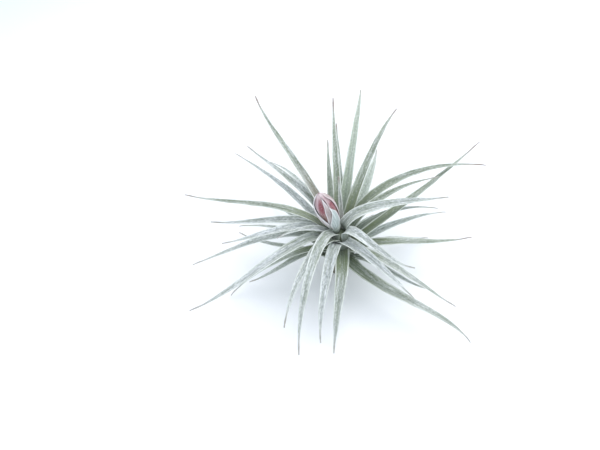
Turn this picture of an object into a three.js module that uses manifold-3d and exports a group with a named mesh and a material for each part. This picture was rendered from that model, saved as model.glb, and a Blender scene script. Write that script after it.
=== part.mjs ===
// A silver-leaved air plant with an opening flower spike, standing free on a table.
// Millimetres, +Z up. The origin is the middle of the flat foot of the stem, on the table top.
// Bearings are degrees seen from above: 0 points along +X, 90 along +Y.
// Each leaf is one closed, channelled blade that grows from the short stem; the spike carries
// silver-green sheath bracts and a head of overlapping pink bracts.

import * as THREE from "three";
import { mergeVertices } from "three/addons/utils/BufferGeometryUtils.js";
import Module from "manifold-3d";

const wasm = await Module();
wasm.setup();

// ---------------------------------------------------------------- driving dimensions

const CLEARANCE = 0.3; // gap kept between neighbouring pieces
const SAME_POINT = 1e-4; // vertices closer than this are one
const UP = new THREE.Vector3(0, 0, 1);

const STEM = {
  footRadius: 3.4,
  neckHeight: 7.5, // the bare stub below the leaves
  neckRadius: 3.2,
  shoulderHeight: 12.5, // the widest place, where the oldest leaves grow
  shoulderRadius: 7.4,
  topHeight: 30,
  topRadius: 3.6,
  sides: 20,
};

// Rows of leaves on the stem, from the youngest (0, round the spike) to the oldest (5).
// rise is how steeply a leaf of the row leaves the stem, in degrees.
const ROWS = [
  { height: 28.8, rise: 75 },
  { height: 26, rise: 65 },
  { height: 23.2, rise: 55 },
  { height: 20.2, rise: 45 },
  { height: 17.2, rise: 35 },
  { height: 14.2, rise: 25 },
];

const BLADE = {
  steps: 14, // lengthwise
  rootWidthShare: 0.45, // width where it leaves the stem, as a share of the full width
  fullWidthAt: 0.24, // how far along the blade is widest
  taperStart: 1.3, // over 1 keeps the blade wide for longer past there
  taperEnd: 0.95, // under 1 rounds the taper off towards the tip
  tipWidth: 0.75,
  ribThickness: 1.0, // along the middle, at the root
  edgeThickness: 0.6,
  channelShare: 0.24, // how high the margins stand over the middle, as a share of the width
  rootHandle: 0.36, // length of the curve's handles, as a share of the leaf's chord
  tipHandle: 0.36,
  rootDepth: 1.2, // how far the blade is drawn into the stem before it is trimmed back
  pointLength: 1.4,
};

// One entry a leaf: the row it grows from, where its tip is, and its full width. It leaves the
// stem at a bearing and a rise (the row's own where none is given), and it runs at its tip
// towards a heading and a pitch.
const LEAVES = [
  // the back, from left to right
  { row: 2, tip: [-50, 46, 51], width: 5.0, bearing: 128, rise: 60, heading: 130, pitch: 2 },
  { row: 3, tip: [-57, 47, 45], width: 5.2, bearing: 146, rise: 54, heading: 140, pitch: 3 },
  { row: 4, tip: [-41, 68, 22], width: 4.0, bearing: 115, rise: 32, heading: 134, pitch: -21 },
  { row: 1, tip: [-47, 77, 63], width: 5.0, bearing: 130, rise: 55, heading: 105, pitch: 0 },
  { row: 3, tip: [-6, 46, 55], width: 4.6, bearing: 110, rise: 60, heading: 90, pitch: 20 },
  { row: 1, tip: [-3, 63, 71], width: 4.6, bearing: 95, rise: 60, heading: 90, pitch: 20 },
  { row: 3, tip: [0, 73, 46], width: 4.0, bearing: 85, rise: 50, heading: 90, pitch: 0 },
  { row: 0, tip: [-1, 14, 56], width: 2.6, bearing: 80, rise: 54, heading: 100, pitch: 70 },
  { row: 2, tip: [14, 85, 62], width: 5.4, bearing: 81, rise: 51, heading: 85, pitch: -21 },
  { row: 4, tip: [24, 65, 33], width: 8, bearing: 64, rise: 35, heading: 80, pitch: -5 },
  { row: 1, tip: [33, 65, 63], width: 5.4, bearing: 56, rise: 68, heading: 64, pitch: -9 },
  // the right
  { row: 3, tip: [83, 45, 39], width: 5.2, bearing: 62, rise: 60, heading: 3, pitch: -9 },
  { row: 2, tip: [54, 31, 42], width: 5.0, bearing: 40, rise: 60, heading: 15, pitch: 0 },
  { row: 3, tip: [81, 58, 44], width: 6.8, bearing: 356, rise: 48, heading: 38, pitch: 21 },
  { row: 0, tip: [58, 17, 40], width: 5.6, bearing: 52, rise: 88, heading: 10, pitch: 0 },
  { row: 3, tip: [54, 21, 28], width: 4.2, bearing: 30, rise: 45, heading: 355, pitch: -5 },
  { row: 4, tip: [60, 25, 21], width: 5.2, bearing: 22, rise: 15, heading: 16, pitch: -8 },
  { row: 4, tip: [71, 3, 23], width: 6.2, bearing: 350, rise: 38, heading: 3, pitch: 16 },
  // the front, from right to left
  { row: 0, tip: [36, -27, 32], width: 5.4, bearing: 332, rise: 84, heading: 350, pitch: -3 },
  { row: 3, tip: [58, -37, 14], width: 4.8, bearing: 326, rise: 28, heading: 328, pitch: -10 },
  { row: 5, tip: [47, -26, 14], width: 4.0, bearing: 332, rise: 29, heading: 13, pitch: -25 },
  { row: 1, tip: [36, -36, 20], width: 7.2, bearing: 290, rise: 45, heading: 320, pitch: -20 },
  { row: 4, tip: [66, -51, 2], width: 7.0, bearing: 302, rise: -13, heading: 349, pitch: -56 },
  { row: 3, tip: [-4, -57, 2], width: 7.0, bearing: 278, rise: 42, heading: 266, pitch: -50 },
  { row: 2, tip: [-11, -55, 8], width: 6.2, bearing: 255, rise: 68, heading: 275, pitch: -39 },
  { row: 0, tip: [-22, -66, 13], width: 5.4, bearing: 221, rise: 61, heading: 273, pitch: -42 },
  { row: 1, tip: [-29, -56, 22], width: 5.4, bearing: 230, rise: 55, heading: 260, pitch: -30 },
  // the left
  { row: 3, tip: [-58, -20, 3], width: 4.8, bearing: 225, rise: 50, heading: 210, pitch: -40 },
  { row: 2, tip: [-78, -36, 9], width: 6.4, bearing: 205, rise: 65, heading: 190, pitch: -20 },
  { row: 4, tip: [-48, -12, 4], width: 4.6, bearing: 204, rise: 52, heading: 169, pitch: -32 },
  { row: 1, tip: [-32, -12, 39], width: 4.6, bearing: 195, rise: 70, heading: 205, pitch: -15 },
  { row: 3, tip: [-78, -11, 17], width: 5.2, bearing: 174, rise: 42, heading: 189, pitch: -20 },
  { row: 2, tip: [-62, -5, 27], width: 5.0, bearing: 161, rise: 59, heading: 172, pitch: -20 },
  { row: 5, tip: [-54, 15, 20], width: 4.4, bearing: 175, rise: 50, heading: 170, pitch: -15 },
  { row: 4, tip: [-69, 10, 28], width: 5.0, bearing: 126, rise: 67, heading: 177, pitch: 4 },
  { row: 1, tip: [-84, 23, 36], width: 5.0, bearing: 165, rise: 55, heading: 150, pitch: -10 },
  { row: 5, tip: [-55, 17, 12], width: 4.4, bearing: 200, rise: 35, heading: 135, pitch: -10 },
  // old leaves that hang below the others
  { row: 5, tip: [52, 23, 2], width: 5.0, bearing: 10, heading: 20, pitch: -15 },
  { row: 5, tip: [22, 42, 2], width: 5.0, bearing: 50, heading: 60, pitch: -25 },
  { row: 5, tip: [7, 62, 4], width: 5.0, bearing: 95, heading: 80, pitch: -25 },
  { row: 5, tip: [-37, 50, 1], width: 5.0, bearing: 145, heading: 130, pitch: -25 },
];

// The flower spike leans out of the middle of the plant. Places along it are shares of its
// length; bearings round it are seen along it: 0 is its right, 90 its back, 180 its left.
const SPIKE = {
  base: [-1.5, 1, 30],
  tip: [-11.9, 2, 57],
  radius: 5.3, // of the head, over its pink bracts
  fullness: 1.3, // over 1 puts the thickest place past the middle
  roundness: 0.72, // under 1 makes the form blunter than a sine arch
  stalkRadius: 1.8,
  cupRadius: 3.1, // where the stalk widens below the head, and the silver bracts start
  cupEnd: 0.1,
  headStart: 0.13,
  coreShare: 0.78, // the core's radius as a share of the head's
  pinkRoot: 1.9, // how deep inside the head's form the inner faces of the pink bracts lie
  leastRadius: 0.2, // of any face of a bract
  coreRings: 8,
  bractRows: 6,
  bractColumns: 4,
  bractArch: [0.2, 0.98], // the part of a half sine wave that a bract's outline follows
  bractBelly: 0.8, // under 1 makes that outline fuller
  sheathGap: 0.45, // between the pink bracts and the silver ones
  sides: 12,
};

// Bracts of the spike, lower ones first: where each starts and ends along the spike, the way it
// faces, half the angle that it wraps, and how far its back stands off the head's form.
const PINK_BRACTS = [
  { from: 0.2, to: 0.9, faces: 90, wraps: 75, lift: -0.3 },
  { from: 0.19, to: 0.94, faces: 165, wraps: 60, lift: -0.15 },
  { from: 0.18, to: 0.97, faces: 230, wraps: 55, lift: 0 },
  { from: 0.28, to: 0.96, faces: 345, wraps: 65, lift: -0.45 },
];
const SILVER_BRACTS = [
  { from: 0.06, to: 0.86, faces: 160, wraps: 35, lift: 1.35 },
  { from: 0.04, to: 0.82, faces: 276, wraps: 22, lift: 1.2 },
  { from: 0.04, to: 0.56, faces: 308, wraps: 36, lift: 1.5 },
];

// ---------------------------------------------------------------- helpers

const radians = THREE.MathUtils.degToRad;

/** The unit vector that points towards a bearing, climbing at a pitch, both in degrees. */
function direction(bearing, pitch) {
  const flat = Math.cos(radians(pitch));
  return new THREE.Vector3(
    flat * Math.cos(radians(bearing)),
    flat * Math.sin(radians(bearing)),
    Math.sin(radians(pitch)),
  );
}

/** A closed geometry as a manifold solid. */
function solidFrom(geometry) {
  const plain = geometry.clone();
  plain.deleteAttribute("normal");
  plain.deleteAttribute("uv");
  const merged = mergeVertices(plain, SAME_POINT);
  return new wasm.Manifold(
    new wasm.Mesh({
      numProp: 3,
      vertProperties: merged.attributes.position.array,
      triVerts: new Uint32Array(merged.index.array),
    }),
  );
}

/** A manifold solid as a geometry for a mesh. */
function geometryFrom(solid) {
  const { vertProperties, triVerts } = solid.getMesh();
  return new THREE.BufferGeometry()
    .setAttribute("position", new THREE.BufferAttribute(vertProperties, 3))
    .setIndex(new THREE.BufferAttribute(triVerts, 1));
}

/** The stem's radius at a height on its leaf-bearing cone. */
function stemRadius(height) {
  const share = (height - STEM.shoulderHeight) / (STEM.topHeight - STEM.shoulderHeight);
  return THREE.MathUtils.lerp(STEM.shoulderRadius, STEM.topRadius, share);
}

// ---------------------------------------------------------------- stem

function stemGeometry(grow = 0) {
  const profile = [
    [0, -grow],
    [STEM.footRadius + grow, -grow],
    [STEM.neckRadius + grow, STEM.neckHeight],
    [STEM.shoulderRadius + grow, STEM.shoulderHeight],
    [STEM.topRadius + grow, STEM.topHeight],
    [0, STEM.topHeight + grow],
  ];
  const points = profile.map(([radius, height]) => new THREE.Vector2(radius, height));
  return new THREE.LatheGeometry(points, STEM.sides).rotateX(Math.PI / 2);
}

/** The stem with the clearance that its neighbours keep. */
const stemRoom = solidFrom(stemGeometry(CLEARANCE));

// ---------------------------------------------------------------- leaves

/** The line along the middle of a leaf, from inside the stem to the tip. */
function leafCurve(leaf) {
  const row = ROWS[leaf.row];
  const radius = stemRadius(row.height) - BLADE.rootDepth;
  const root = direction(leaf.bearing, 0).multiplyScalar(radius).setZ(row.height);
  const tip = new THREE.Vector3(...leaf.tip);
  const length = root.distanceTo(tip);
  const leaving = direction(leaf.bearing, leaf.rise ?? row.rise);
  const ending = direction(leaf.heading, leaf.pitch);
  const afterRoot = root.clone().addScaledVector(leaving, length * BLADE.rootHandle);
  const beforeTip = tip.clone().addScaledVector(ending, -length * BLADE.tipHandle);
  return new THREE.CubicBezierCurve3(root, afterRoot, beforeTip, tip);
}

/** Full width of a blade at a share t of its length. */
function widthAt(t, width) {
  const { rootWidthShare, fullWidthAt, taperStart, taperEnd, tipWidth } = BLADE;
  if (t < fullWidthAt) {
    const s = Math.sin((Math.PI / 2) * (t / fullWidthAt));
    return width * THREE.MathUtils.lerp(rootWidthShare, 1, s);
  }
  const s = (t - fullWidthAt) / (1 - fullWidthAt);
  return Math.max(tipWidth, width * Math.pow(1 - Math.pow(s, taperStart), taperEnd));
}

/** A blade's section at t: six corners across the blade, as [sideways, upwards] pairs. */
function sectionAt(t, width) {
  const half = widthAt(t, width) / 2;
  const margin = 2 * half * BLADE.channelShare;
  const rib = THREE.MathUtils.lerp(BLADE.ribThickness, BLADE.edgeThickness, t) / 2;
  const edge = BLADE.edgeThickness / 2;
  return [
    [half, margin + edge],
    [0, rib],
    [-half, margin + edge],
    [-half, margin - edge],
    [0, -rib],
    [half, margin - edge],
  ];
}

/** A blade: rings of six corners along the curve, a flat root and a drawn-out point. */
function bladeGeometry(leaf) {
  const curve = leafCurve(leaf);
  const positions = [];
  const indices = [];
  const start = curve.getTangentAt(0);
  const side = new THREE.Vector3().crossVectors(UP, start).normalize();
  for (let i = 0; i <= BLADE.steps; i++) {
    const t = i / BLADE.steps;
    const centre = curve.getPointAt(t);
    const tangent = curve.getTangentAt(t);
    side.addScaledVector(tangent, -side.dot(tangent)).normalize();
    const up = new THREE.Vector3().crossVectors(tangent, side);
    for (const [across, above] of sectionAt(t, leaf.width)) {
      const corner = centre.clone().addScaledVector(side, across).addScaledVector(up, above);
      positions.push(corner.x, corner.y, corner.z);
    }
  }
  const corners = 6;
  for (let i = 0; i < BLADE.steps; i++) {
    for (let j = 0; j < corners; j++) {
      const a = i * corners + j;
      const b = i * corners + ((j + 1) % corners);
      const c = a + corners;
      const d = b + corners;
      // the upper and the lower face are split along the same diagonals
      if (j < 2 || j === 5) indices.push(a, b, d, a, d, c);
      else indices.push(a, b, c, b, d, c);
    }
  }
  const last = BLADE.steps * corners;
  const point = curve.getPointAt(1).addScaledVector(curve.getTangentAt(1), BLADE.pointLength);
  positions.push(point.x, point.y, point.z);
  for (let j = 0; j < corners; j++) {
    indices.push(last + j, last + ((j + 1) % corners), last + corners);
  }
  // the flat root: two quads that share the rib line
  for (const [a, b, c, d] of [[0, 1, 4, 5], [1, 2, 3, 4]]) {
    indices.push(a, c, b, a, d, c);
  }
  return new THREE.BufferGeometry()
    .setAttribute("position", new THREE.Float32BufferAttribute(positions, 3))
    .setIndex(indices);
}

// ---------------------------------------------------------------- flower spike

const spikeBase = new THREE.Vector3(...SPIKE.base);
const spikeTip = new THREE.Vector3(...SPIKE.tip);
const spikeLength = spikeBase.distanceTo(spikeTip);

/** Stands a geometry built along +Z from the origin on the spike's own line. */
function placeOnSpike(geometry) {
  const along = spikeTip.clone().sub(spikeBase).normalize();
  const turn = new THREE.Quaternion().setFromUnitVectors(UP, along);
  return geometry.applyQuaternion(turn).translate(...SPIKE.base);
}

/** The head's radius over its pink bracts, at a share t of the spike's length. */
function headRadius(t) {
  const arch = Math.sin(Math.PI * Math.pow(t, SPIKE.fullness));
  return SPIKE.radius * Math.pow(arch, SPIKE.roundness);
}

/** The closed core of the head. */
function coreGeometry() {
  const points = [new THREE.Vector2(0, SPIKE.headStart * spikeLength)];
  for (let i = 0; i < SPIKE.coreRings; i++) {
    const t = THREE.MathUtils.lerp(SPIKE.headStart, 1, i / SPIKE.coreRings);
    points.push(new THREE.Vector2(headRadius(t) * SPIKE.coreShare, t * spikeLength));
  }
  points.push(new THREE.Vector2(0, spikeLength));
  return placeOnSpike(new THREE.LatheGeometry(points, SPIKE.sides).rotateX(Math.PI / 2));
}

/** A cupped bract on the head; its inner face stands off the head's form by innerLift. */
function bractGeometry({ from, to, faces, wraps, lift }, innerLift) {
  const { bractRows: rows, bractColumns: columns } = SPIKE;
  const positions = [];
  const indices = [];
  for (const offset of [lift, innerLift]) {
    for (let i = 0; i <= rows; i++) {
      const s = i / rows;
      const t = THREE.MathUtils.lerp(from, to, s);
      const arch = Math.sin(Math.PI * THREE.MathUtils.lerp(...SPIKE.bractArch, s));
      const spread = wraps * Math.pow(arch, SPIKE.bractBelly);
      for (let j = 0; j <= columns; j++) {
        const across = (2 * j) / columns - 1;
        const angle = radians(faces + across * spread);
        const radius = Math.max(headRadius(t) + offset, SPIKE.leastRadius);
        positions.push(radius * Math.cos(angle), radius * Math.sin(angle), t * spikeLength);
      }
    }
  }
  const layer = (rows + 1) * (columns + 1);
  const at = (i, j, inner) => inner * layer + i * (columns + 1) + j;
  const quad = (a, b, c, d) => indices.push(a, b, c, a, c, d);
  for (let i = 0; i < rows; i++) {
    for (let j = 0; j < columns; j++) {
      quad(at(i, j, 0), at(i, j + 1, 0), at(i + 1, j + 1, 0), at(i + 1, j, 0));
      quad(at(i, j, 1), at(i + 1, j, 1), at(i + 1, j + 1, 1), at(i, j + 1, 1));
    }
    quad(at(i, 0, 0), at(i + 1, 0, 0), at(i + 1, 0, 1), at(i, 0, 1));
    quad(at(i, columns, 0), at(i, columns, 1), at(i + 1, columns, 1), at(i + 1, columns, 0));
  }
  for (let j = 0; j < columns; j++) {
    quad(at(0, j, 0), at(0, j, 1), at(0, j + 1, 1), at(0, j + 1, 0));
    quad(at(rows, j, 0), at(rows, j + 1, 0), at(rows, j + 1, 1), at(rows, j, 1));
  }
  const geometry = new THREE.BufferGeometry()
    .setAttribute("position", new THREE.Float32BufferAttribute(positions, 3))
    .setIndex(indices);
  return placeOnSpike(geometry);
}

/** The pink head: a core with its bracts round it, as one solid. */
function headSolid() {
  return PINK_BRACTS.reduce(
    (all, bract) => all.add(solidFrom(bractGeometry(bract, -SPIKE.pinkRoot))),
    solidFrom(coreGeometry()),
  );
}

/** The stalk and its silver bracts, which hold the head like a cup. */
function sheathSolid() {
  const points = [
    new THREE.Vector2(0, CLEARANCE),
    new THREE.Vector2(SPIKE.stalkRadius, CLEARANCE),
    new THREE.Vector2(SPIKE.cupRadius, SPIKE.cupEnd * spikeLength),
    new THREE.Vector2(0, SPIKE.cupEnd * spikeLength),
  ];
  const stalk = new THREE.LatheGeometry(points, SPIKE.sides).rotateX(Math.PI / 2);
  return SILVER_BRACTS.reduce(
    (all, bract) => all.add(solidFrom(bractGeometry(bract, SPIKE.sheathGap))),
    solidFrom(placeOnSpike(stalk)),
  ).subtract(stemRoom);
}

// ---------------------------------------------------------------- the plant

const plant = new THREE.Group();

const stemMaterial = new THREE.MeshStandardMaterial({ color: 0x6f7658, roughness: 0.9 });
const leafMaterial = new THREE.MeshStandardMaterial({ color: 0xa9b5a8, roughness: 0.85 });
const sheathMaterial = new THREE.MeshStandardMaterial({ color: 0xb9bfb4, roughness: 0.85 });
const headMaterial = new THREE.MeshStandardMaterial({ color: 0xb9707f, roughness: 0.8 });

function addPiece(name, geometry, material) {
  const mesh = new THREE.Mesh(geometry, material.clone());
  mesh.name = name;
  plant.add(mesh);
}

addPiece("stem", stemGeometry(), stemMaterial);

LEAVES.forEach((leaf, index) => {
  const blade = solidFrom(bladeGeometry(leaf)).subtract(stemRoom);
  const name = "leaf_" + String(index + 1).padStart(2, "0");
  addPiece(name, geometryFrom(blade), leafMaterial);
});

addPiece("spike_bracts", geometryFrom(sheathSolid()), sheathMaterial);
addPiece("spike_head", geometryFrom(headSolid()), headMaterial);

export default plant;
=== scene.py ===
import math
import random

import bpy
import numpy as np
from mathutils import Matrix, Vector


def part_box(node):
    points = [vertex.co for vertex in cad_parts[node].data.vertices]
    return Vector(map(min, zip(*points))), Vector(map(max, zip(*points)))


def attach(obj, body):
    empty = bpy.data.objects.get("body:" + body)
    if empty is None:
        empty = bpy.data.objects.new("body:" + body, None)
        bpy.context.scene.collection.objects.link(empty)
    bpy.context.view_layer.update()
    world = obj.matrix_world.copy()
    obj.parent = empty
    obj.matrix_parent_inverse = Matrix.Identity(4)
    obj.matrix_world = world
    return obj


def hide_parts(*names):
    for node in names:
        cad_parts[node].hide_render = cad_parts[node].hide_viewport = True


# The air plant's looks. Every leaf, bract and the stem of the CAD model is replaced by a finer
# piece of the same form; the plant stands on a pale floor in soft light. Metres, +Z up.

MM = 0.001
UP = Vector((0, 0, 1))

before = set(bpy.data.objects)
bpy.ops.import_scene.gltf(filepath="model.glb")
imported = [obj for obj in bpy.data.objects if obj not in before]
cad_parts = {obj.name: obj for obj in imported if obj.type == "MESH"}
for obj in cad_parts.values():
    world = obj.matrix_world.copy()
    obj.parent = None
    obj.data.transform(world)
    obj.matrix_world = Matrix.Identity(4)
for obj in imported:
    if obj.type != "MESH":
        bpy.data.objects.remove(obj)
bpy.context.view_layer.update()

LEAF_NODES = sorted(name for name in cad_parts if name.startswith("leaf_"))

# ---------------------------------------------------------------- sizes

BLADE = {
    "stations": 56,  # rings along a blade
    "crowding": 0.35,  # how much closer its rings stand at both ends
    "columns": 11,  # points across each of its faces
    "rib": 1.05 * MM,  # thickness along the middle, at the base
    "rib_tip": 0.5 * MM,
    "rib_kept": 0.45,  # share of it that is left where the blade has no width
    "rib_fall": 1.6,  # the power by which it thins towards the margins
    "edge": 0.34 * MM,  # thickness at the margins
    "edge_kept": 0.6,
    "full_half": 1.6 * MM,  # half width from which the blade has its full thickness
    "lip": 0.45,  # how far a margin is rounded out, as a share of its thickness
    "sheath": 1.28,  # half width of the clasping base, as a share of the blade's widest
    "root_out": 1.0 * MM,  # how far past the base's last point the blade is taken to begin
    "sheath_start": 2.0 * MM,  # how far before there the base starts to turn into the blade
    "sheath_end": 11 * MM,  # how far past there it has done so
    "tip_start": 0.90,  # share of the length from which the tip narrows more
    "tip_loss": 0.45,  # share of the width that it loses there
    "tip_width": 0.5 * MM,
    "wave": 0.12 * MM,  # unevenness of the margins
    "slow_wave": 18,  # its two rates, in radians a blade
    "quick_wave": 41,
}
CHANNEL = (0.60, 0.40)  # how much of a blade's trough is straight sided, and how much round
BLADE_SEEDS = 50  # the range that each blade's own place in the grain is drawn from

# The base of a leaf, which clasps the stem, in millimetres.
CLASP = {
    "step": 0.25,  # of the search for the stem's skin, inward from the blade
    "steps": 48,
    "drops": (5.4, 3.4, 1.6),  # how far down the stem its three points lie
    "foot_spread": 0.3,  # how much of their distances is kept where SHEATH_FOOT stops them
    "stand": 0.15,  # how far it stands off the stem
    "flare": 0.12,  # and how much more for each millimetre down
    "bridge": 2.5,  # a wider gap between the skin and the blade gets a point of its own
    "wrap": 0.6,  # from the skin to the curve that the base is bent round
    "reach": 1.4,  # radians round the stem that it covers at most to each side
}

# The stem's radius at rising heights, in millimetres, and the height on it that the top of a
# leaf's base doesn't go below.
STEM_PROFILE = [(0, 3.4), (7.5, 3.2), (12.5, 7.4), (30, 3.6)]
SHEATH_FOOT = 10.5 * MM
CROWN = (0, 0, 20 * MM)  # a place in the stem that every leaf leads away from
SAME_POINT = 0.001 * MM  # CAD points this near to one another are one point

# The flower spike, as in the part's source: places along it are shares of its length, and
# bearings round it are 0 to its right, 90 to its back, 180 to its left.
SPIKE_BASE = Vector((-1.5, 1, 30)) * MM
SPIKE_TIP = Vector((-11.9, 2, 57)) * MM
HEAD_RADIUS = 5.3 * MM
HEAD_FULLNESS = 1.3  # above 1 puts the head's widest place past its middle
HEAD_ROUNDNESS = 0.72  # below 1 makes its ends blunter

# One bract of the spike, in millimetres.
BRACT = {
    "rows": 40,  # of points along it
    "columns": 18,  # of faces across it
    "edge": 0.26,  # thickness at the margins
    "flare": 0.20,  # how far the margins lift
    "keel": 0.15,  # how far the middle does
    "closest": 0.3,  # the least its outside may be from the spike's middle line
    "closest_inside": 0.08,
    "hug_end": 1.02,  # place along the spike where bracts no longer stand off one another
    "hug_length": 0.16,  # how far before there they start to close in
    "flat_tip": 0.2,  # share of its length over which the lift fades at the tip
    "over": 0.05,  # how much farther out a bract stands that lies over another
    "grain_shift": 7,  # sets the grain of bracts that stand off differently apart
}

# ---------------------------------------------------------------- shader helpers


class Nodes:
    """Builds one material's node tree with short calls."""

    def __init__(self, name):
        self.material = bpy.data.materials.new(name)
        self.material.use_nodes = True
        self.tree = self.material.node_tree
        self.shader = self.tree.nodes["Principled BSDF"]

    def add(self, kind, **settings):
        node = self.tree.nodes.new("ShaderNode" + kind)
        for key, value in settings.items():
            setattr(node, key, value)
        return node

    def put(self, socket, value):
        """Sets a socket, or links another node's output to it."""
        if isinstance(value, bpy.types.NodeSocket):
            self.tree.links.new(value, socket)
        else:
            socket.default_value = value

    def attribute(self, name):
        return self.add("Attribute", attribute_name=name).outputs["Fac"]

    def vector(self, name):
        return self.add("Attribute", attribute_name=name).outputs["Vector"]

    def math(self, operation, a, b=0.0, clamp=False):
        node = self.add("Math", operation=operation, use_clamp=clamp)
        self.put(node.inputs[0], a)
        self.put(node.inputs[1], b)
        return node.outputs[0]

    def ramp(self, value, low, high, start=0.0, end=1.0):
        """A smooth step from start to end as value goes from low to high."""
        node = self.add("MapRange", interpolation_type="SMOOTHSTEP")
        self.put(node.inputs["Value"], value)
        limits = {"From Min": low, "From Max": high, "To Min": start, "To Max": end}
        for key, number in limits.items():
            node.inputs[key].default_value = number
        return node.outputs["Result"]

    def mix(self, share, a, b, blend="MIX"):
        node = self.add("Mix", data_type="RGBA", blend_type=blend, clamp_factor=True)
        self.put(node.inputs[0], share)
        self.put(node.inputs[6], a)
        self.put(node.inputs[7], b)
        return node.outputs[2]

    def stretched(self, vector, scale):
        node = self.add("Mapping", vector_type="POINT")
        self.put(node.inputs["Vector"], vector)
        node.inputs["Scale"].default_value = scale
        return node.outputs["Vector"]

    def noise(self, vector, scale, detail, roughness):
        node = self.add("TexNoise")
        self.put(node.inputs["Vector"], vector)
        node.inputs["Scale"].default_value = scale
        node.inputs["Detail"].default_value = detail
        node.inputs["Roughness"].default_value = roughness
        return node.outputs["Fac"]

    def grain(self, vector, scale, detail=3.0, roughness=0.6):
        """Noise with its own scale along each direction."""
        return self.noise(self.stretched(vector, scale), 1.0, detail, roughness)

    def bump(self, height, strength, distance):
        node = self.add("Bump")
        node.inputs["Strength"].default_value = strength
        node.inputs["Distance"].default_value = distance
        self.put(node.inputs["Height"], height)
        return node.outputs["Normal"]

    def set(self, name, value):
        self.put(self.shader.inputs[name], value)


def srgb(code):
    """A linear colour from a hex code."""
    channels = [int(code[i:i + 2], 16) / 255 for i in (0, 2, 4)]
    linear = [c / 12.92 if c <= 0.04045 else ((c + 0.055) / 1.055) ** 2.4 for c in channels]
    return (*linear, 1.0)


def palette(**codes):
    return {name: srgb(code) for name, code in codes.items()}


# ---------------------------------------------------------------- mesh helpers


def add_mesh(name, points, faces, attributes=None, vectors=None):
    """A smooth mesh object with per-point float and vector attributes."""
    mesh = bpy.data.meshes.new(name)
    mesh.from_pydata([tuple(p) for p in points], [], faces)
    for key, values in (attributes or {}).items():
        layer = mesh.attributes.new(key, "FLOAT", "POINT")
        layer.data.foreach_set("value", np.asarray(values, dtype=np.float32))
    for key, values in (vectors or {}).items():
        layer = mesh.attributes.new(key, "FLOAT_VECTOR", "POINT")
        layer.data.foreach_set("vector", np.asarray(values, dtype=np.float32).ravel())
    mesh.shade_smooth()
    mesh.validate()
    piece = bpy.data.objects.new(name, mesh)
    bpy.context.scene.collection.objects.link(piece)
    return piece


def curve_through(values, places, at):
    """A smooth curve through values given at rising places, read at the places in at."""
    values = np.asarray(values, float)
    places = np.asarray(places, float)
    slopes = np.gradient(values, places, axis=0)
    k = np.clip(np.searchsorted(places, at, side="right") - 1, 0, len(places) - 2)
    span = places[k + 1] - places[k]
    s = (at - places[k]) / span
    if values.ndim == 2:
        s, span = s[:, None], span[:, None]
    a = (1 + 2 * s) * (1 - s) ** 2 * values[k] + s * s * (3 - 2 * s) * values[k + 1]
    return a + span * (s * (1 - s) ** 2 * slopes[k] - s * s * (1 - s) * slopes[k + 1])


def smooth(share):
    return share * share * (3 - 2 * share)


def smooth_step(values, low, high):
    return smooth(np.clip((values - low) / (high - low), 0, 1))


def unit(rows):
    return rows / np.linalg.norm(rows, axis=-1, keepdims=True)


def capped_rings(start, rings, end):
    """Points and faces of a closed form made of rings of points between two end points."""
    sides = len(rings[0])
    points = [start] + [point for ring in rings for point in ring] + [end]
    faces = [(0, 1 + (k + 1) % sides, 1 + k) for k in range(sides)]
    for i in range(len(rings) - 1):
        for k in range(sides):
            a, b = 1 + i * sides + k, 1 + i * sides + (k + 1) % sides
            faces.append((a, b, b + sides, a + sides))
    last = 1 + (len(rings) - 1) * sides
    faces += [(last + k, last + (k + 1) % sides, len(points) - 1) for k in range(sides)]
    return points, faces


# ---------------------------------------------------------------- leaves


def merged(node):
    """A CAD node's points, and for each the set of its neighbours, with doubles merged."""
    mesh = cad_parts[node].data
    index, points, own = {}, [], []
    for vertex in mesh.vertices:
        key = tuple(round(c / SAME_POINT) for c in vertex.co)
        if key not in index:
            index[key] = len(points)
            points.append(np.array(vertex.co))
        own.append(index[key])
    near = [set() for _ in points]
    for face in mesh.polygons:
        ids = [own[i] for i in face.vertices]
        for a, b in zip(ids, ids[1:] + ids[:1]):
            near[a].add(b)
            near[b].add(a)
    return np.array(points), near


def blade_rings(node):
    """The CAD blade's rings of six corners, from the stem to the tip, and its point."""
    points, near = merged(node)
    point = int(np.argmax(np.linalg.norm(points - np.array(CROWN), axis=1)))
    seen, ring, rings = {point}, set(near[point]), []
    while len(ring) == 6:
        rings.append([points[i] for i in ring])
        seen |= ring
        ring = {j for i in ring for j in near[i]} - seen
    return rings[::-1], points[point]


def blade_lines(node):
    """Middle line, sideways directions, half widths and channel depths of the CAD blade."""
    rings, point = blade_rings(node)
    centres = np.array([np.mean(ring, axis=0) for ring in rings] + [point])
    tangents = unit(np.gradient(centres, axis=0))
    widest = len(rings) // 4
    spread = np.array(rings[widest]) - centres[widest]
    side = np.linalg.svd(spread)[2][0]
    order = list(range(widest, -1, -1)) + list(range(widest + 1, len(rings)))
    found, sides = {}, {}
    for i in order:
        previous = sides.get(i + 1 if i < widest else i - 1, side)
        sides[i] = unit(previous - tangents[i] * previous.dot(tangents[i]))
        up = np.cross(tangents[i], sides[i])
        ring = sorted(rings[i], key=lambda p: (p - centres[i]).dot(sides[i]))
        left, middle, right = (np.mean(ring[k:k + 2], axis=0) for k in (0, 2, 4))
        depth = ((left + right) / 2 - middle).dot(up)
        found[i] = (middle, sides[i], np.linalg.norm(right - left) / 2, depth)
    flip = 1 if found[widest][3] > 0 else -1
    rows = [found[i] for i in range(len(rings))]
    middles = np.array([row[0] for row in rows] + [point])
    side_rows = np.array([row[1] * flip for row in rows + rows[-1:]])
    widths = np.array([row[2] for row in rows] + [0.0])
    depths = np.array([abs(row[3]) for row in rows] + [0.0])
    return middles, side_rows, widths, depths


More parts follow.
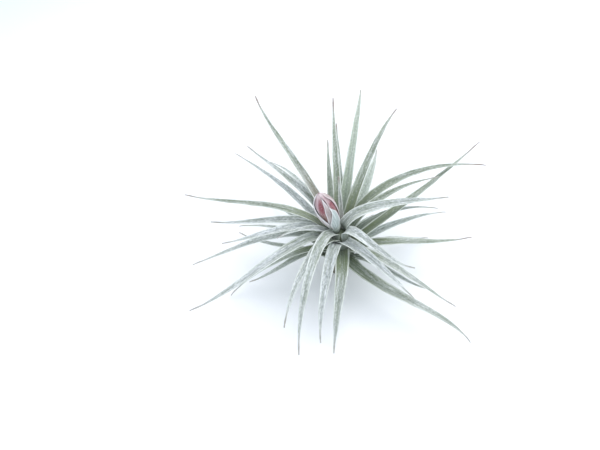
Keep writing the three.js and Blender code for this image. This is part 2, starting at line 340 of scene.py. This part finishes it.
def stem_radius(height):
    heights, radii = zip(*STEM_PROFILE)
    return float(np.interp(height / MM, heights, radii)) * MM


def clasp(middles, sides):
    """The points and sideways directions of a leaf's base, from low on the stem up to the blade,
    and how far from the stem's middle line the leaf meets the stem's skin."""
    inward = unit(middles[0] - middles[1])
    place = middles[0].copy()
    for _ in range(CLASP["steps"]):
        if math.hypot(place[0], place[1]) <= stem_radius(place[2]):
            break
        place = place + inward * CLASP["step"] * MM
    bearing = math.atan2(place[1], place[0])
    tangent = np.array([-math.sin(bearing), math.cos(bearing), 0.0])
    if tangent.dot(sides[0]) < 0:
        tangent = -tangent
    line = []
    for drop in CLASP["drops"]:
        spread = (CLASP["drops"][-1] - drop) * CLASP["foot_spread"] * MM
        height = max(place[2] - drop * MM, SHEATH_FOOT + spread)
        radius = stem_radius(height) + (CLASP["stand"] + CLASP["flare"] * drop) * MM
        line.append(np.array([radius * math.cos(bearing), radius * math.sin(bearing), height]))
    turned = [tangent] * len(line)
    if np.linalg.norm(middles[0] - place) > CLASP["bridge"] * MM:
        line.append(place + (middles[0] - place) * 0.5)
        turned.append(unit(tangent + sides[0]))
    return line, turned, float(np.hypot(*place[:2]))


def margin_wave(t, taper, slow, quick):
    """How far a margin strays up or down: one slow wave, and a quicker one half as high."""
    sway = math.sin(BLADE["slow_wave"] * t + slow) + 0.5 * math.sin(BLADE["quick_wave"] * t + quick)
    return BLADE["wave"] * taper * sway


def thinned(kept, taper):
    """The share of its thickness that a blade has where its width is tapering."""
    return kept + (1 - kept) * taper


def blade(node, draw):
    """A finer blade over the CAD one: a curved channel with thin margins, a base that clasps
    the stem and a fine tip."""
    middles, sides, widths, depths = blade_lines(node)
    base, base_sides, base_radius = clasp(middles, sides)
    middles = np.vstack([base, middles])
    sides = np.vstack([base_sides, sides])
    widths = np.concatenate([[widths[0]] * len(base), widths])
    depths = np.concatenate([[depths[0]] * len(base), depths])
    steps = np.linalg.norm(np.diff(middles, axis=0), axis=1)
    places = np.concatenate([[0], np.cumsum(steps)])
    length = places[-1]
    root = places[len(base) - 1] + BLADE["root_out"]
    full = widths.max()

    t = np.linspace(0, 1, BLADE["stations"])
    t = t - BLADE["crowding"] * np.sin(2 * math.pi * t) / (2 * math.pi)
    at = t * length
    centre = curve_through(middles, places, at)
    side = unit(curve_through(sides, places, at))
    tangent = unit(np.gradient(centre, axis=0))
    side = unit(side - tangent * np.sum(side * tangent, axis=1, keepdims=True))
    up = np.cross(tangent, side)
    half = np.maximum(curve_through(widths, places, at), 0)
    depth = np.maximum(curve_through(depths, places, at), 0)

    clasping = 1 - smooth_step(at, root - BLADE["sheath_start"], root + BLADE["sheath_end"])
    sheath = BLADE["sheath"] * full
    half = half + np.maximum(sheath - half, 0) * clasping
    half = half * (1 - BLADE["tip_loss"] * smooth_step(t, BLADE["tip_start"], 1.0))
    half = np.maximum(half, BLADE["tip_width"] / 2)

    phases = [draw.uniform(0, 2 * math.pi) for _ in range(4)]
    columns = BLADE["columns"]
    u = np.sin(np.linspace(-0.5, 0.5, columns) * math.pi)
    bend = np.abs(u)
    points, across, along, under, lines = [], [], [], [], []
    seed = draw.uniform(0, BLADE_SEEDS)
    wrap = base_radius + CLASP["wrap"] * MM
    for i in range(BLADE["stations"]):
        trough = depth[i] * (CHANNEL[0] * bend + CHANNEL[1] * bend ** 2)
        angle = np.clip(u * half[i] / wrap, -CLASP["reach"], CLASP["reach"])
        x = (1 - clasping[i]) * u * half[i] + clasping[i] * wrap * np.sin(angle)
        y = (1 - clasping[i]) * trough + clasping[i] * wrap * (1 - np.cos(angle))
        taper = min(1.0, half[i] / BLADE["full_half"])
        rib = BLADE["rib"] + (BLADE["rib_tip"] - BLADE["rib"]) * t[i]
        rib = rib * thinned(BLADE["rib_kept"], taper)
        edge = BLADE["edge"] * thinned(BLADE["edge_kept"], taper)
        thick = (edge + (rib - edge) * (1 - bend ** BLADE["rib_fall"])) / 2
        right_wave = margin_wave(t[i], taper, phases[0], phases[1])
        left_wave = margin_wave(t[i], taper, phases[2], phases[3])
        y = y + np.where(u > 0, right_wave, left_wave) * bend ** 2
        lip = BLADE["lip"] * edge
        ring = [(x[k], y[k] + thick[k], u[k], 0.0) for k in range(columns)]
        ring.append((x[-1] + lip, y[-1], 1.0, 0.0))
        ring += [(x[k], y[k] - thick[k], u[k], 1.0) for k in range(columns - 1, -1, -1)]
        ring.append((x[0] - lip, y[0], -1.0, 0.0))
        for sideways, above, share, back in ring:
            points.append(centre[i] + side[i] * sideways + up[i] * above)
            across.append(share)
            along.append((at[i] - root) / (length - root))
            under.append(back)
            lines.append((share * half[i] / MM, at[i] / MM, seed))
    count = 2 * columns + 2
    faces = []
    for i in range(BLADE["stations"] - 1):
        for k in range(count):
            a, b = i * count + k, i * count + (k + 1) % count
            faces.append((a, a + count, b + count, b))
    faces.append(tuple(range(count)))
    last = (BLADE["stations"] - 1) * count
    faces.append(tuple(range(last + count - 1, last - 1, -1)))
    attributes = {"across": across, "along": along, "under": under}
    return points, faces, attributes, lines


# How each leaf looks: silver is 1 for the frosted lavender-grey young leaves and 0 for the
# greener old ones; olive darkens its base; dry browns its tip. The old leaves low on the stem
# all look the same.
LOOKS = {
    "leaf_01": (0.62, 0.3, 0.2), "leaf_02": (1.00, 0.0, 0.2), "leaf_03": (0.75, 0.1, 0.2),
    "leaf_04": (0.30, 0.5, 0.9), "leaf_05": (0.12, 0.7, 0.3), "leaf_06": (0.00, 0.6, 1.0),
    "leaf_07": (0.20, 0.4, 0.6), "leaf_08": (0.50, 0.3, 0.6), "leaf_09": (0.30, 0.5, 0.1),
    "leaf_10": (0.75, 0.0, 0.1), "leaf_11": (0.12, 0.8, 0.8), "leaf_12": (0.05, 0.5, 0.8),
    "leaf_13": (0.12, 0.3, 0.2), "leaf_14": (0.00, 0.8, 0.8), "leaf_15": (0.55, 0.1, 0.2),
    "leaf_16": (0.40, 0.4, 0.2), "leaf_17": (1.00, 0.0, 0.3), "leaf_18": (0.08, 0.6, 0.8),
    "leaf_19": (0.85, 0.0, 0.2), "leaf_20": (0.50, 0.5, 0.3), "leaf_21": (0.65, 0.3, 0.3),
    "leaf_22": (0.95, 0.0, 0.2), "leaf_23": (0.38, 0.5, 0.2), "leaf_24": (0.42, 0.9, 0.1),
    "leaf_25": (1.00, 0.1, 0.1), "leaf_26": (0.60, 0.2, 0.2), "leaf_27": (0.75, 0.9, 0.2),
    "leaf_28": (0.20, 1.0, 0.3), "leaf_29": (0.85, 0.6, 0.2), "leaf_30": (0.45, 0.9, 0.3),
    "leaf_31": (0.85, 0.1, 0.1), "leaf_32": (0.75, 0.5, 0.2), "leaf_33": (1.00, 0.0, 0.2),
    "leaf_34": (0.50, 0.5, 0.2), "leaf_35": (0.85, 0.1, 0.2), "leaf_36": (0.15, 0.7, 0.5),
    "leaf_37": (0.45, 0.4, 0.4),
}
OLD_LEAF = (0.35, 0.9, 0.3)
RUST = {"leaf_04": 0.8, "leaf_08": 1.0}  # how purplish brown the base is
MINT = {"leaf_05": 0.4, "leaf_09": 1.0, "leaf_10": 0.8, "leaf_17": 0.4}  # how light a green it is

# The channel, crown and under colours below are colours of painted shade.
LEAF = palette(
    skin_dark="737f68", skin_light="9ca693", olive="6e7b58", frost_dark="afb6b9", frost_light="eff3f3",
    mint="b3c1ae", channel="75817a", rust="8d6f70", scale="eef1f2", gap="66716a", rim="e9efe8",
    crown="555e4c", far="d8ded8", dry="a0958e", under="87937f",
)


def leaf_material():
    """Grey-green skin under a frost of fine silver scales that lie in lines along the leaf."""
    n = Nodes("leaf_frosted")
    across = n.math("ABSOLUTE", n.attribute("across"))
    along = n.attribute("along")
    under = n.attribute("under")
    silver = n.attribute("silver")
    olive = n.attribute("olive")
    dry = n.attribute("dry")
    rust = n.attribute("rust")
    lines = n.vector("lines")

    streaks = n.grain(lines, (1.5, 0.08, 1))
    fine = n.grain(lines, (3.0, 0.40, 1))
    specks = n.grain(lines, (2.0, 0.8, 1), 2.0)
    patches = n.grain(lines, (0.35, 0.06, 1), 2.0, 0.5)
    base = n.math("MULTIPLY", n.ramp(along, 0.10, 0.48, 1.0, 0.0), olive)

    # The green skin, and over it the frost, thinner on the base and broken into streaks.
    green = n.mix(n.ramp(patches, 0.35, 0.65), LEAF["skin_dark"], LEAF["skin_light"])
    green = n.mix(base, green, LEAF["olive"])
    frost = n.mix(n.ramp(fine, 0.32, 0.68), LEAF["frost_dark"], LEAF["frost_light"])
    cover = n.math("ADD", n.math("MULTIPLY", silver, 0.72), n.ramp(streaks, 0.32, 0.68, -0.26, 0.40))
    cover = n.math("SUBTRACT", cover, n.math("MULTIPLY", base, 0.45), clamp=True)
    colour = n.mix(cover, green, frost)
    colour = n.mix(n.math("MULTIPLY", n.attribute("mint"), 0.6), colour, LEAF["mint"])
    # The middle of the trough is darkened: painted shade in the channel.
    colour = n.mix(n.ramp(across, 0.0, 0.35, 0.35, 0.0), colour, LEAF["channel"])
    colour = n.mix(n.math("MULTIPLY", base, rust), colour, LEAF["rust"])

    # White scales and dark gaps between them, and the pale margins.
    white = n.ramp(specks, 0.50, 0.72, 0.0, 0.45)
    white = n.math("SUBTRACT", white, n.math("MULTIPLY", base, 0.26), clamp=True)
    colour = n.mix(white, colour, LEAF["scale"])
    colour = n.mix(n.ramp(specks, 0.32, 0.45, 0.42, 0.0), colour, LEAF["gap"])
    rim = n.math("MULTIPLY", n.ramp(across, 0.74, 0.93), n.ramp(streaks, 0.34, 0.60, 0.35, 0.85))
    colour = n.mix(rim, colour, LEAF["rim"])

    # From the crown to the tip: painted shade between the bases, paler far out, dry at the end.
    colour = n.mix(n.ramp(along, -0.12, 0.08, 0.75, 0.0), colour, LEAF["crown"])
    colour = n.mix(n.ramp(along, 0.55, 0.95, 0.0, 0.2), colour, LEAF["far"])
    tip = n.math("MULTIPLY", n.ramp(along, 0.82, 0.99), n.math("ADD", dry, 0.4), clamp=True)
    colour = n.mix(tip, colour, LEAF["dry"])
    # The undersides are painted a darker green: painted shade on the faces turned away from the light.
    colour = n.mix(n.math("MULTIPLY", under, 0.3), colour, LEAF["under"])
    n.set("Base Color", colour)
    n.set("Roughness", n.ramp(specks, 0.3, 0.7, 0.62, 0.85))
    n.set("Sheen Weight", 0.12)
    n.set("Sheen Roughness", 0.6)
    height = n.math("ADD", n.math("MULTIPLY", streaks, 0.6), n.math("MULTIPLY", fine, 0.5))
    height = n.math("ADD", height, n.math("MULTIPLY", specks, 0.5))
    n.set("Normal", n.bump(height, 0.7, 0.0004))
    return n.material


def build_leaves():
    material = leaf_material()
    draw = random.Random(4)
    for node in LEAF_NODES:
        points, faces, attributes, lines = blade(node, draw)
        silver, olive, dry = LOOKS.get(node, OLD_LEAF)
        count = len(points)
        attributes["silver"] = [silver] * count
        attributes["olive"] = [olive] * count
        attributes["dry"] = [dry] * count
        attributes["rust"] = [RUST.get(node, 0.0)] * count
        attributes["mint"] = [MINT.get(node, 0.0)] * count
        piece = add_mesh(node + "_blade", points, faces, attributes, {"lines": lines})
        piece.data.materials.append(material)
        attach(piece, "root")
        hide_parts(node)


# ---------------------------------------------------------------- flower spike

SPIKE_LENGTH = (SPIKE_TIP - SPIKE_BASE).length
SPIKE_TURN = UP.rotation_difference(SPIKE_TIP - SPIKE_BASE).to_matrix()


def head_radius(t):
    arch = max(0.0, math.sin(math.pi * t ** HEAD_FULLNESS))
    return HEAD_RADIUS * arch ** HEAD_ROUNDNESS


def on_spike(radius, bearing, t):
    angle = math.radians(bearing)
    flat = Vector((radius * math.cos(angle), radius * math.sin(angle), t * SPIKE_LENGTH))
    return SPIKE_BASE + SPIKE_TURN @ flat


def margin_at(margins, t):
    """A bract's left and right margins, as bearings, at a place along the spike."""
    places, lefts, rights = (np.array(column, float) for column in zip(*margins))
    at = np.array([t])
    return float(curve_through(lefts, places, at)[0]), float(curve_through(rights, places, at)[0])


def fold_at(bearing, t, lift):
    """How near a place on a bract is to the margin of one that lies over it, as the strength of the
    painted shadow there: 1 to 0.
    """
    nearest = math.inf
    for other in BRACTS.values():
        margins = other["margins"]
        if other["lift"] <= lift + BRACT["over"] or t < margins[0][0]:
            continue
        over_tip = max(0.0, t - margins[-1][0]) * SPIKE_LENGTH / MM
        left, right = margin_at(margins, min(t, margins[-1][0]))
        for turn in (-360, 0, 360):
            aside = max(left - bearing - turn, bearing + turn - right, 0.0)
            gap = math.hypot(math.radians(aside) * head_radius(t) / MM, over_tip)
            nearest = min(nearest, gap)
    return math.exp(-((nearest / FOLD_SHADE_WIDTH) ** 2))


def bract(spec, thickness):
    """A cupped bract round the head, between its margins, from its base to its tip."""
    rows, columns = BRACT["rows"], BRACT["columns"]
    margins, lift = spec["margins"], spec["lift"]
    first, last = margins[0][0], margins[-1][0]
    outer, inner, lines = [], [], []
    across, along, deep, fold = [], [], [], []
    for i in range(rows + 1):
        s = i / rows
        t = first + (last - first) * s
        left, right = margin_at(margins, t)
        for j in range(columns + 1):
            u = 2 * j / columns - 1
            bearing = left + (right - left) * (u + 1) / 2
            keel = spec.get("keel", BRACT["keel"]) * MM * (1 - abs(u)) ** 3
            flare = BRACT["flare"] * MM * u ** 4 + keel
            stand = lift * MM * smooth(min(1.0, (BRACT["hug_end"] - t) / BRACT["hug_length"]))
            top = max(head_radius(t) + stand, BRACT["closest"] * MM)
            top = top + flare * smooth(min(1.0, (1 - s) / BRACT["flat_tip"]))
            depth = (BRACT["edge"] + (thickness - BRACT["edge"]) * (1 - u * u)) * MM
            outer.append(on_spike(top, bearing, t))
            inner.append(on_spike(max(top - depth, BRACT["closest_inside"] * MM), bearing, t))
            across.append(u)
            along.append(s)
            fold.append(fold_at(bearing, t, lift))
            deep.append(0.0)
            if "deep_at" in spec:
                middle, height, reach, rise = spec["deep_at"]
                deep[-1] = math.exp(-((bearing - middle) / reach) ** 2 - ((t - height) / rise) ** 2)
            round_head = math.radians(bearing) * HEAD_RADIUS / MM
            lines.append((round_head, t * SPIKE_LENGTH / MM, lift * BRACT["grain_shift"]))
    width = columns + 1
    layer = (rows + 1) * width
    faces = []
    for i in range(rows):
        for j in range(columns):
            a, d = i * width + j, (i + 1) * width + j
            b, c = a + 1, d + 1
            faces.append((a, b, c, d))
            faces.append((layer + d, layer + c, layer + b, layer + a))
        left, up_left = i * width, (i + 1) * width
        right, up_right = left + columns, up_left + columns
        faces.append((up_left, layer + up_left, layer + left, left))
        faces.append((right, layer + right, layer + up_right, up_right))
    for j in range(columns):
        faces.append((j + 1, j, layer + j, layer + j + 1))
        top = rows * width + j
        faces.append((top, top + 1, layer + top + 1, layer + top))
    points = outer + inner
    attributes = {"across": across * 2, "along": along * 2, "deep": deep * 2, "fold": fold * 2}
    return points, faces, attributes, lines * 2


FOLD_SHADE_WIDTH = 0.42  # millimetres, of the painted shadow line where a bract goes under another

# Each bract: its margins as (place along the spike, bearing of the left one, of the right one)
# from its base to its tip; how far it stands off the head's form in millimetres; how pink it is;
# how far its middle is raised, in millimetres; and the bearing and place of its deepest colour,
# with its spread along each.
BRACTS = {
    "pink_back": {
        "margins": [
            (0.20, 20, 140), (0.4, -5, 150), (0.6, -12, 150), (0.8, -12, 150), (0.92, -20, 140),
            (1.0, 20, 80),
        ],
        "lift": 0.62, "blush": 0.35,
    },
    "pink_side": {
        "margins": [
            (0.20, 140, 232), (0.4, 125, 228), (0.6, 120, 214), (0.8, 120, 192), (0.93, 125, 195),
            (0.995, 150, 180),
        ],
        "lift": 0.30, "blush": 0.25,
    },
    "pink_right": {
        "margins": [
            (0.32, 298, 365), (0.5, 302, 368), (0.65, 304, 368), (0.79, 306, 368), (0.87, 306, 368),
            (0.93, 294, 366), (0.99, 262, 345),
        ],
        "lift": 0.12, "blush": 1.0, "deep_at": (333, 0.70, 20, 0.10),
    },
    "pink_left": {
        "margins": [
            (0.26, 240, 300), (0.4, 240, 305), (0.5, 236, 305), (0.60, 231, 305), (0.69, 225, 305),
            (0.76, 209, 305), (0.83, 190, 300), (0.92, 190, 292), (0.995, 220, 262),
        ],
        "lift": 0.0, "blush": 1.0, "deep_at": (258, 0.77, 22, 0.15),
    },
    "silver_left": {
        "margins": [
            (0.08, 130, 268), (0.25, 120, 272), (0.40, 112, 261), (0.52, 112, 249), (0.62, 112, 235),
            (0.72, 115, 217), (0.80, 120, 203), (0.90, 130, 196), (0.97, 150, 177),
        ],
        "lift": 0.80, "blush": 0.8,
    },
    "silver_ridge": {
        "margins": [
            (0.14, 262, 300), (0.3, 260, 310), (0.42, 264, 315), (0.58, 271, 312), (0.66, 272, 306),
            (0.76, 277, 300), (0.84, 280, 297), (0.92, 287, 291),
        ],
        "lift": 0.50, "blush": 0.9, "keel": 0.45, "deep_at": (288, 0.60, 40, 0.14),
    },
    "silver_right": {
        "margins": [
            (0.03, 240, 356), (0.12, 255, 356), (0.25, 262, 352), (0.34, 266, 344), (0.44, 281, 334),
            (0.54, 294, 329), (0.62, 302, 324), (0.68, 303, 313), (0.73, 303, 306),
        ],
        "lift": 0.9, "blush": 0.0,
    },
}


def join_parts(name, parts, looks):
    """One object from several closed parts, each with its own look attributes."""
    points, faces, attributes, lines = [], [], {}, []
    for (part_points, part_faces, part_attributes, part_lines), look in zip(parts, looks):
        offset = len(points)
        points += part_points
        faces += [tuple(i + offset for i in face) for face in part_faces]
        lines += part_lines
        for key, values in part_attributes.items():
            attributes.setdefault(key, []).extend(values)
        for key, value in look.items():
            attributes.setdefault(key, []).extend([value] * len(part_points))
    return add_mesh(name, points, faces, attributes, {"lines": lines})


# The core is given the full painted shadow of the fold colour, as it is seen only in the gaps between
# the bracts.
CORE_LOOK = {"across": 0.0, "along": 0.5, "deep": 0.8, "fold": 1.0}
CORE_SHARE = 0.8  # its radius, as a share of the head's
CORE_START = 0.13  # where it begins along the spike
CORE_LENGTH = 0.86
STALK_LOOK = {"across": 0.0, "along": 0.0, "deep": 0.0, "fold": 0.0}
# The stalk's radius in millimetres at rising places along the spike.
STALK_PROFILE = [(1.8, 0.0), (2.1, 0.04), (2.7, 0.08), (3.2, 0.12), (3.3, 0.15)]


def round_part(profile, end, look, seed):
    """A closed round form on the spike's middle line, with the same look all over."""
    sides = 20
    rings = [[on_spike(radius, 360 * k / sides, t) for k in range(sides)] for radius, t in profile]
    points, faces = capped_rings(on_spike(0, 0, profile[0][1]), rings, on_spike(0, 0, end))
    attributes = {key: [value] * len(points) for key, value in look.items()}
    return points, faces, attributes, [(0.0, 0.0, seed)] * len(points)


def head_core():
    """The closed middle of the head, seen only in the gaps between its bracts."""
    rings = 16
    places = [CORE_START + CORE_LENGTH * i / (rings - 1) for i in range(rings)]
    profile = [(head_radius(t) * CORE_SHARE, t) for t in places]
    return round_part(profile, 1.0, CORE_LOOK, 0.0)


def stalk():
    """The short stalk that widens into a cup under the head."""
    profile = [(radius * MM, t) for radius, t in STALK_PROFILE]
    return round_part(profile, STALK_PROFILE[-1][1], STALK_LOOK, 3.0)


# In both palettes, fold is the colour of the painted shadow where one bract goes under another.
ROSE = palette(
    mauve_dark="a07f83", mauve_light="d0b7ba", grey_dark="93847f", grey_light="cfc1bd",
    heart_dark="77303a", heart_light="9c5b61", brown_dark="69493f", brown_light="967666",
    rim="e4d7d7", tip="eddfe0", speck="ece3e4", fold="6a4a4e",
)
SILVER = palette(
    dark="a1afab", light="d8e2df", pink_dark="ab9b98", pink_light="dccfce", shade="8a7a75",
    rim="efeded", tip="f0eeee", foot="8c9684", speck="f3f6f6", fold="5a5651",
)


def pink_material():
    """Rose bracts: mauve with a deep heart, brown low down, pale and frosted at the margins."""
    n = Nodes("bract_rose")
    across = n.math("ABSOLUTE", n.attribute("across"))
    along = n.attribute("along")
    deep = n.attribute("deep")
    blush = n.attribute("blush")
    lines = n.vector("lines")
    veins = n.ramp(n.grain(lines, (1.7, 0.14, 1)), 0.30, 0.70)
    specks = n.grain(lines, (2.2, 1.6, 1), 2.0, 0.7)

    # Every colour is streaked by the veins. Grey turns to mauve with how pink the bract is.
    mauve = n.mix(veins, ROSE["mauve_dark"], ROSE["mauve_light"])
    grey = n.mix(veins, ROSE["grey_dark"], ROSE["grey_light"])
    heart = n.mix(veins, ROSE["heart_dark"], ROSE["heart_light"])
    brown = n.mix(veins, ROSE["brown_dark"], ROSE["brown_light"])
    colour = n.mix(blush, grey, mauve)
    colour = n.mix(n.math("MULTIPLY", n.ramp(along, 0.34, 0.72, 0.95, 0.0), blush), colour, brown)
    colour = n.mix(n.ramp(deep, 0.05, 0.75), colour, heart)

    # Pale margins and tip, white scales, and the painted shadow line where another bract lies over it.
    colour = n.mix(n.ramp(across, 0.74, 0.97, 0.0, 0.85), colour, ROSE["rim"])
    colour = n.mix(n.ramp(along, 0.86, 1.0, 0.0, 0.85), colour, ROSE["tip"])
    colour = n.mix(n.ramp(specks, 0.52, 0.70, 0.0, 0.42), colour, ROSE["speck"])
    colour = n.mix(n.math("MULTIPLY", n.attribute("fold"), 0.45), colour, ROSE["fold"])
    n.set("Base Color", colour)
    n.set("Roughness", n.ramp(specks, 0.3, 0.7, 0.5, 0.75))
    n.set("Sheen Weight", 0.12)
    n.set("Normal", n.bump(n.math("ADD", veins, n.math("MULTIPLY", specks, 0.4)), 0.5, 0.0003))
    return n.material


def sheath_material():
    """Silver bracts: mint at the base, some with a pink cast, with white margins."""
    n = Nodes("bract_silver")
    across = n.math("ABSOLUTE", n.attribute("across"))
    along = n.attribute("along")
    blush = n.attribute("blush")
    lines = n.vector("lines")
    veins = n.ramp(n.grain(lines, (1.6, 0.12, 1)), 0.30, 0.70)
    specks = n.grain(lines, (2.2, 1.6, 1), 2.0, 0.7)

    # Silver, with the pink cast out from the base, and the shade on the ridge.
    silver = n.mix(veins, SILVER["dark"], SILVER["light"])
    pink = n.mix(veins, SILVER["pink_dark"], SILVER["pink_light"])
    colour = n.mix(n.math("MULTIPLY", n.ramp(along, 0.0, 0.35), blush), silver, pink)
    colour = n.mix(n.ramp(n.attribute("deep"), 0.1, 0.9, 0.0, 0.6), colour, SILVER["shade"])

    # White margins and tip, the mint foot, white scales, and the painted shadow line under another
    # bract.
    colour = n.mix(n.ramp(across, 0.66, 0.97, 0.0, 0.9), colour, SILVER["rim"])
    colour = n.mix(n.ramp(along, 0.80, 1.0, 0.0, 0.8), colour, SILVER["tip"])
    colour = n.mix(n.ramp(along, 0.0, 0.30, 0.55, 0.0), colour, SILVER["foot"])
    colour = n.mix(n.ramp(specks, 0.55, 0.72, 0.0, 0.4), colour, SILVER["speck"])
    colour = n.mix(n.math("MULTIPLY", n.attribute("fold"), 0.65), colour, SILVER["fold"])
    n.set("Base Color", colour)
    n.set("Roughness", n.ramp(specks, 0.3, 0.7, 0.6, 0.82))
    n.set("Sheen Weight", 0.12)
    n.set("Normal", n.bump(n.math("ADD", veins, n.math("MULTIPLY", specks, 0.4)), 0.5, 0.0003))
    return n.material


def build_bracts(kind, name, node, material, middle, blush, thickness):
    """The bracts of one kind, round the part in their middle, as one piece."""
    parts, looks = [middle], [{"blush": blush}]
    for key, spec in BRACTS.items():
        if key.startswith(kind):
            parts.append(bract(spec, thickness))
            looks.append({"blush": spec["blush"]})
    piece = join_parts(name, parts, looks)
    piece.data.materials.append(material)
    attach(piece, "root")
    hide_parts(node)


def build_spike():
    build_bracts(
        "pink", "spike_head_bracts", "spike_head",
        material=pink_material(), middle=head_core(), blush=0.6, thickness=0.9,
    )
    build_bracts(
        "silver", "spike_sheath", "spike_bracts",
        material=sheath_material(), middle=stalk(), blush=0.0, thickness=0.7,
    )


# ---------------------------------------------------------------- stem


BARK = palette(
    dry_dark="5c594f", dry_light="928d80", green_dark="4a5342", green_light="7d8871", patch="6b675c",
)

# The stub's radius and height from its foot to its top, in millimetres.
STUB_PROFILE = [
    (3.4, 0.0), (3.5, 0.6), (3.4, 2.0), (3.2, 4.0), (3.15, 6.0), (3.4, 7.8), (4.6, 9.4), (6.4, 11.2),
    (7.3, 12.6), (7.0, 14.5), (6.4, 17.5), (5.8, 20.0), (5.1, 23.0), (4.5, 26.0), (3.9, 28.6),
    (3.4, 29.9),
]
STUB_WIDEST = 7.38  # the radius that no flute goes past
FLUTES = 7
FLUTE_DEPTH = 0.035  # as a share of the radius
FLUTE_TURN = 0.35  # radians for each millimetre up
FLUTE_START = 2  # millimetres above the foot at which they have their full depth


def stem_material():
    """Dry brown at the foot, dull green higher up, where the leaf bases clasp it."""
    n = Nodes("stem_bark")
    place = n.add("TexCoord").outputs["Object"]
    height = n.add("SeparateXYZ")
    n.put(height.inputs[0], place)
    rough = n.noise(n.stretched(place, (1, 1, 0.35)), 900.0, 4.0, 0.65)
    patches = n.noise(place, 220.0, 2.0, 0.5)
    bark = n.mix(rough, BARK["dry_dark"], BARK["dry_light"])
    green = n.mix(rough, BARK["green_dark"], BARK["green_light"])
    colour = n.mix(n.ramp(height.outputs["Z"], 0.008, 0.014), bark, green)
    colour = n.mix(n.ramp(patches, 0.50, 0.70, 0.0, 0.5), colour, BARK["patch"])
    n.set("Base Color", colour)
    n.set("Roughness", n.ramp(patches, 0.3, 0.7, 0.75, 0.92))
    n.set("Normal", n.bump(rough, 0.7, 0.0004))
    return n.material


def stub_ring(radius, height, sides=48):
    """One level of the stub, with its flutes."""
    ring = []
    for k in range(sides):
        angle = 2 * math.pi * k / sides
        wave = FLUTE_DEPTH * math.sin(FLUTES * angle + FLUTE_TURN * height)
        fluted = radius * (1 + wave * min(1, height / FLUTE_START))
        r = min(fluted, STUB_WIDEST) * MM
        ring.append(Vector((r * math.cos(angle), r * math.sin(angle), height * MM)))
    return ring


def build_stem():
    """A stub with shallow flutes, flat underneath, widest where the lowest leaves clasp it."""
    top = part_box("stem")[1].z
    rings = [stub_ring(radius, height) for radius, height in STUB_PROFILE]
    points, faces = capped_rings(Vector((0, 0, 0)), rings, Vector((0, 0, top)))
    piece = add_mesh("stem_stub", points, faces)
    piece.data.materials.append(stem_material())
    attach(piece, "root")
    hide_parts("stem")


# ---------------------------------------------------------------- floor, light and camera


# far is the colour of painted shade where the light falls off away from the plant.
FLOOR = palette(near_dark="f6f9fb", near_light="fbfcfd", far="d9e2ec")
FLOOR_HALF = 12.0
FLOOR_FALLOFF_SHADE = (0.20, 0.46)  # how far from the middle the painted falloff shade starts and stops, turning it bluer and a little darker

LAMP_PLACE = Vector((0.34, 0.36, 1.00))
LAMP_TARGET = Vector((0, 0, 0.02))
LAMP_SIZE = 1.1
LAMP_POWER = 5.0
LAMP_COLOUR = (1.0, 0.97, 0.93)
SKY_COLOUR = (0.91, 0.96, 1.05, 1)
SKY_STRENGTH = 1.09

# The camera stands at the photograph's viewing angle.
CAMERA_PLACE = Vector((-21.41, -297.92, 333.71)) * MM
CAMERA_TILT = 45  # degrees up from straight down
CAMERA_LENS = 47.52
CAMERA_SENSOR = 36


def floor_material():
    """Near white, with painted shade turning it a little bluer and darker far from the plant, where
    the light falls off.
    """
    n = Nodes("floor_pale")
    place = n.add("TexCoord").outputs["Object"]
    tint = n.noise(place, 3.0, 2.0, 0.5)
    far = n.add("VectorMath", operation="LENGTH")
    n.put(far.inputs[0], place)
    near = n.mix(tint, FLOOR["near_dark"], FLOOR["near_light"])
    n.set("Base Color", n.mix(n.ramp(far.outputs["Value"], *FLOOR_FALLOFF_SHADE), near, FLOOR["far"]))
    n.set("Roughness", 0.9)
    return n.material


def build_floor():
    corners = ((-1, -1), (1, -1), (1, 1), (-1, 1))
    points = [Vector((x * FLOOR_HALF, y * FLOOR_HALF, 0)) for x, y in corners]
    floor = add_mesh("floor", points, [(0, 1, 2, 3)])
    floor.data.materials.append(floor_material())


def build_lights():
    """One large soft lamp behind and to the right, and a pale sky."""
    lamp = bpy.data.lights.new("key", "AREA")
    lamp.shape = "DISK"
    lamp.size = LAMP_SIZE
    lamp.energy = LAMP_POWER
    lamp.color = LAMP_COLOUR
    light = bpy.data.objects.new("key", lamp)
    bpy.context.scene.collection.objects.link(light)
    light.location = LAMP_PLACE
    light.rotation_euler = (LAMP_TARGET - LAMP_PLACE).to_track_quat("-Z", "Y").to_euler()
    sky = bpy.data.worlds.new("studio")
    bpy.context.scene.world = sky
    sky.use_nodes = True
    background = sky.node_tree.nodes["Background"]
    background.inputs["Color"].default_value = SKY_COLOUR
    background.inputs["Strength"].default_value = SKY_STRENGTH


def build_camera():
    lens = bpy.data.cameras.new("camera")
    lens.lens = CAMERA_LENS
    lens.sensor_width = CAMERA_SENSOR
    lens.clip_start = 0.01
    camera = bpy.data.objects.new("camera", lens)
    bpy.context.scene.collection.objects.link(camera)
    camera.location = CAMERA_PLACE
    camera.rotation_euler = (math.radians(CAMERA_TILT), 0, 0)
    bpy.context.scene.camera = camera
    bpy.context.scene.view_settings.view_transform = "Standard"


build_leaves()
build_spike()
build_stem()
build_floor()
build_lights()
build_camera()
